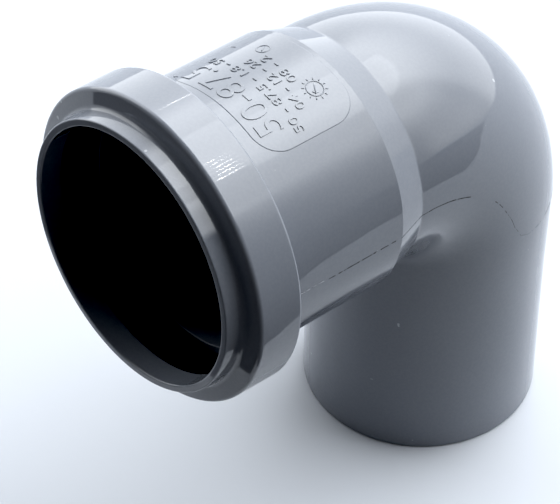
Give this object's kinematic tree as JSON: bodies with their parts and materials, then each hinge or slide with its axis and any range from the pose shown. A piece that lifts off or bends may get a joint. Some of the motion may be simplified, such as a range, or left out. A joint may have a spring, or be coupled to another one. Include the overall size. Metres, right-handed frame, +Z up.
{
  "type": "push-fit pipe elbow",
  "caption": "Grey plastic push-fit elbow for waste pipe, with a plain spigot on one leg and a ring-seal socket on the other.",
  "frame": {"origin": "centre of the spigot's end face, which the fitting stands on", "axes": "+Z up the spigot; the socket's mouth faces -Y and tips up by 2.5 degrees; X = 0 is the plane of symmetry"},
  "size_m": [0.0652, 0.1053, 0.1134],
  "materials": {
    "grey_plastic": "semi-gloss moulded polypropylene",
    "seal_rubber": "smooth black rubber"
  },
  "bodies": {
    "root": {"elbow_body": "grey_plastic", "seal_ring": "seal_rubber"}
  },
  "joints": []
}
